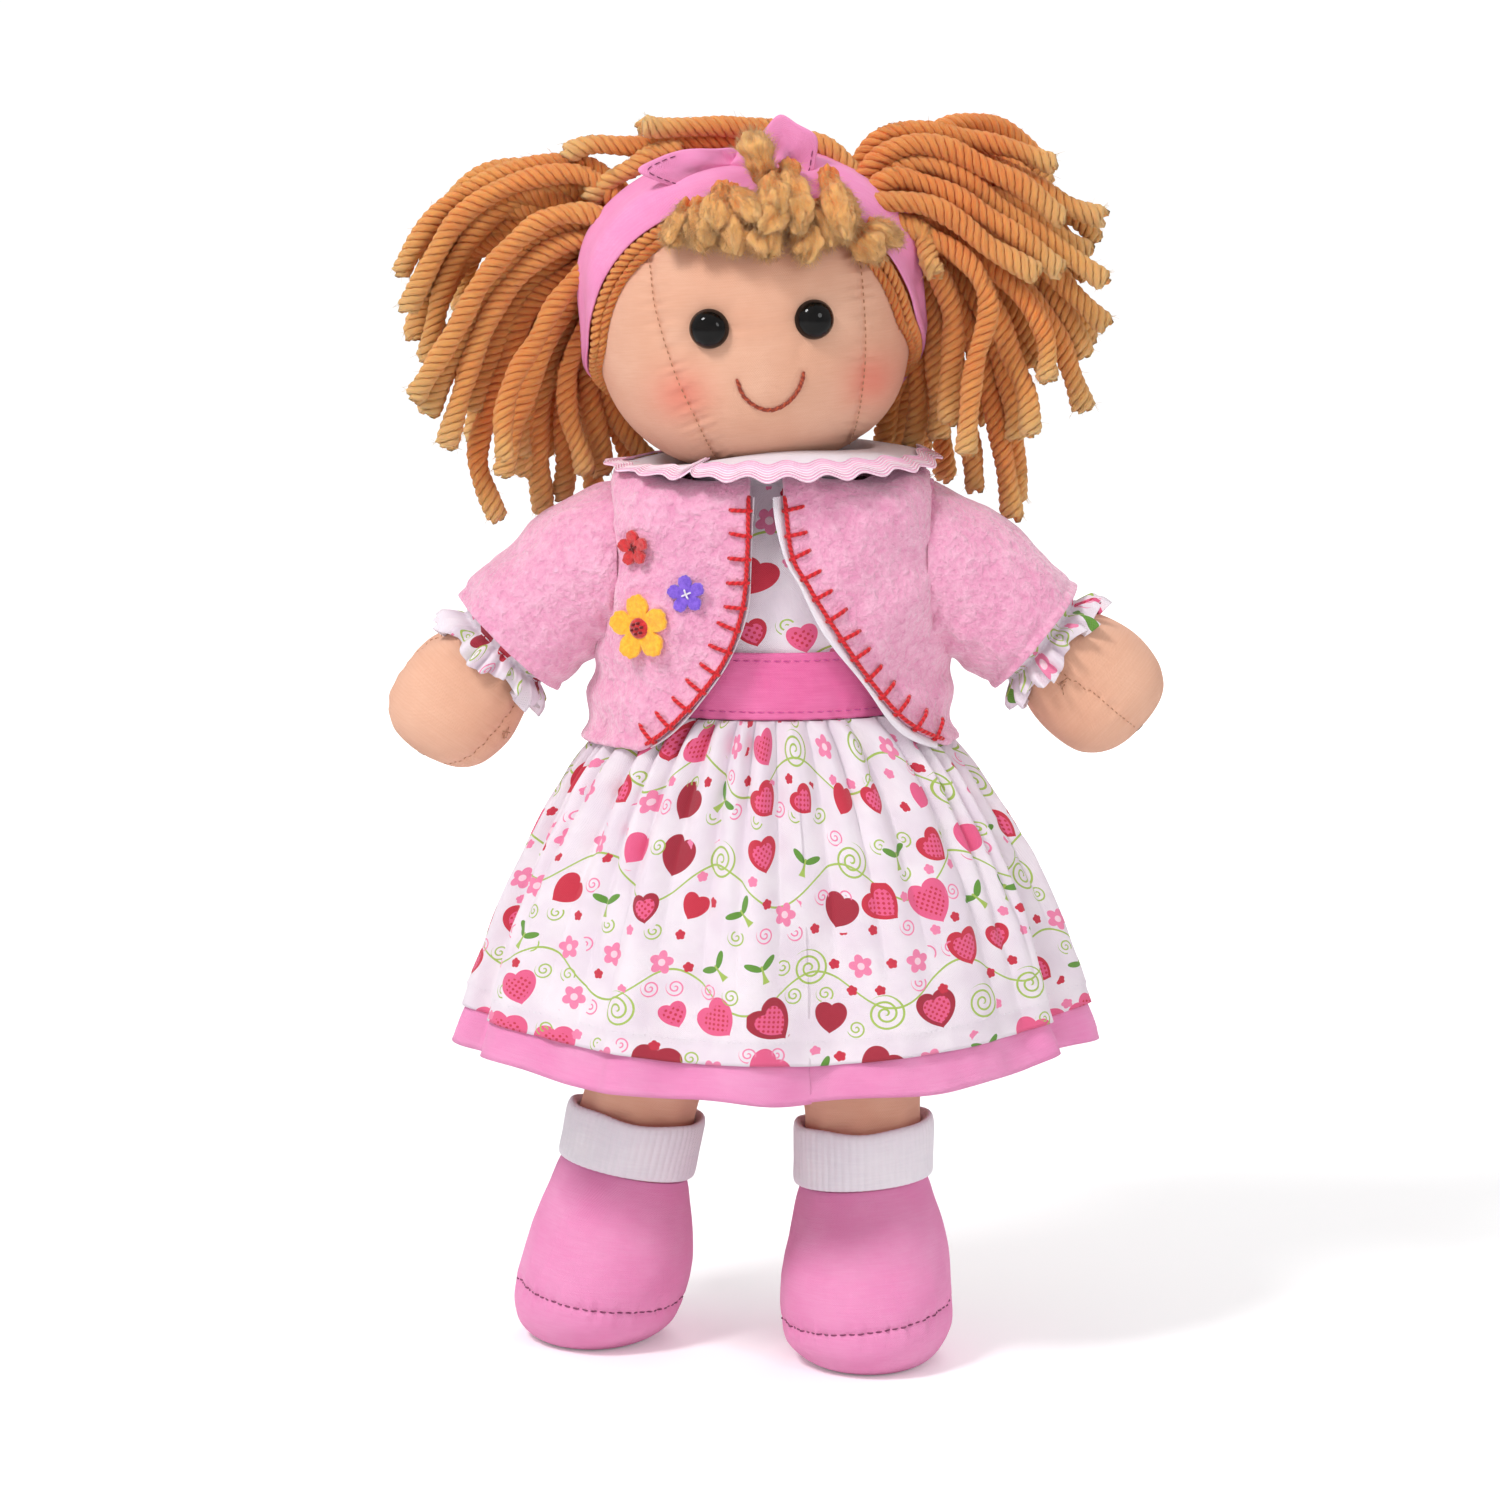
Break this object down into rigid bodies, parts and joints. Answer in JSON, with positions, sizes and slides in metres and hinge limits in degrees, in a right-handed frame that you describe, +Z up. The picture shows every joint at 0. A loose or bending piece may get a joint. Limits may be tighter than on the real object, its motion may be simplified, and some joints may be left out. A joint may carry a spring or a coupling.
{
  "type": "rag doll",
  "caption": "Stuffed cloth rag doll with yarn bunches, a gathered printed dress, a fleece cardigan, cotton shoes, and jointed neck, shoulders, hips and hair.",
  "frame": {"origin": "on the ground under the middle of the doll's overall box", "axes": "+Z up, the doll faces -Y, its left side is towards +X"},
  "size_m": [0.2172, 0.109, 0.3348],
  "materials": {
    "skin_cloth": "smooth peach cotton, tightly stuffed",
    "stuffing": "white polyester fibre filling",
    "button_eye": "polished black",
    "washer": "moulded white",
    "mouth_thread": "embroidery thread",
    "yarn": "thick twisted apricot yarn, frayed ends",
    "pink_cotton": "plain woven pink cotton",
    "printed_cotton": "white cotton with a small print of hearts, blossoms and leaves",
    "white_cotton": "plain woven white cotton",
    "ric_rac": "woven waved braid",
    "rib_knit": "fine white rib knit",
    "fleece": "short-pile pink fleece",
    "red_thread": "thick embroidery thread",
    "yellow_felt": "felt",
    "purple_felt": "felt",
    "red_felt": "felt"
  },
  "bodies": {
    "torso": {"torso_skin": "skin_cloth", "torso_stuffing": "stuffing", "bodice": "printed_cotton", "waistband": "pink_cotton", "skirt": "printed_cotton", "underskirt": "pink_cotton", "collar": "white_cotton", "collar_trim": "ric_rac", "cardigan_body": "fleece", "blanket_stitch_right": "red_thread", "blanket_stitch_left": "red_thread", "flower_yellow": "yellow_felt", "flower_purple": "purple_felt", "flower_red": "red_felt", "flower_centre": "red_felt"},
    "neck": {"neck": "skin_cloth"},
    "head": {"head_skin": "skin_cloth", "head_stuffing": "stuffing", "eye_right": "button_eye", "eye_left": "button_eye", "eye_washer_right": "washer", "eye_washer_left": "washer", "mouth_thread": "mouth_thread", "hair_cap": "yarn", "headband": "pink_cotton", "bow_knot": "pink_cotton", "bow_ear_right": "pink_cotton", "bow_ear_left": "pink_cotton", "fringe": "yarn"},
    "bunch_right": {"bunch_right": "yarn"},
    "arm_right": {"arm_skin_right": "skin_cloth", "arm_stuffing_right": "stuffing", "dress_sleeve_right": "printed_cotton", "cardigan_sleeve_right": "fleece"},
    "leg_right": {"leg_skin_right": "skin_cloth", "leg_stuffing_right": "stuffing", "shoe_right": "pink_cotton", "sock_cuff_right": "rib_knit"},
    "bunch_left": {"bunch_left": "yarn"},
    "arm_left": {"arm_skin_left": "skin_cloth", "arm_stuffing_left": "stuffing", "dress_sleeve_left": "printed_cotton", "cardigan_sleeve_left": "fleece"},
    "leg_left": {"leg_skin_left": "skin_cloth", "leg_stuffing_left": "stuffing", "shoe_left": "pink_cotton", "sock_cuff_left": "rib_knit"}
  },
  "joints": [
    {"name": "neck_nod", "type": "hinge", "parent": "torso", "child": "neck", "pos_m": [0.00249, 0, 0.229], "axis": [1, 0, 0], "range_deg": [-8, 12]},
    {"name": "head_turn", "type": "hinge", "parent": "neck", "child": "head", "pos_m": [0.00249, 0, 0.229], "axis": [-0.0872, 0, 0.9962], "range_deg": [-15, 15]},
    {"name": "bunch_lift_right", "type": "hinge", "parent": "head", "child": "bunch_right", "pos_m": [-0.0451, 0.00182, 0.2951], "axis": [-0.0521, 0.9986, -0.0046], "range_deg": [0, 20]},
    {"name": "bunch_lift_left", "type": "hinge", "parent": "head", "child": "bunch_left", "pos_m": [0.03747, 0.00617, 0.30233], "axis": [0.0521, -0.9986, 0.0046], "range_deg": [0, 20]},
    {"name": "shoulder_right", "type": "hinge", "parent": "torso", "child": "arm_right", "pos_m": [-0.03081, 0, 0.218], "axis": [-1, 0, 0], "range_deg": [-30, 90]},
    {"name": "shoulder_left", "type": "hinge", "parent": "torso", "child": "arm_left", "pos_m": [0.03779, 0, 0.218], "axis": [-1, 0, 0], "range_deg": [-30, 90]},
    {"name": "hip_right", "type": "hinge", "parent": "torso", "child": "leg_right", "pos_m": [-0.01901, 0, 0.1142], "axis": [-1, 0, 0], "range_deg": [-25, 90], "deforming": ["skirt", "underskirt"]},
    {"name": "hip_left", "type": "hinge", "parent": "torso", "child": "leg_left", "pos_m": [0.02599, 0, 0.1142], "axis": [-1, 0, 0], "range_deg": [-25, 90], "deforming": ["skirt", "underskirt"]}
  ]
}
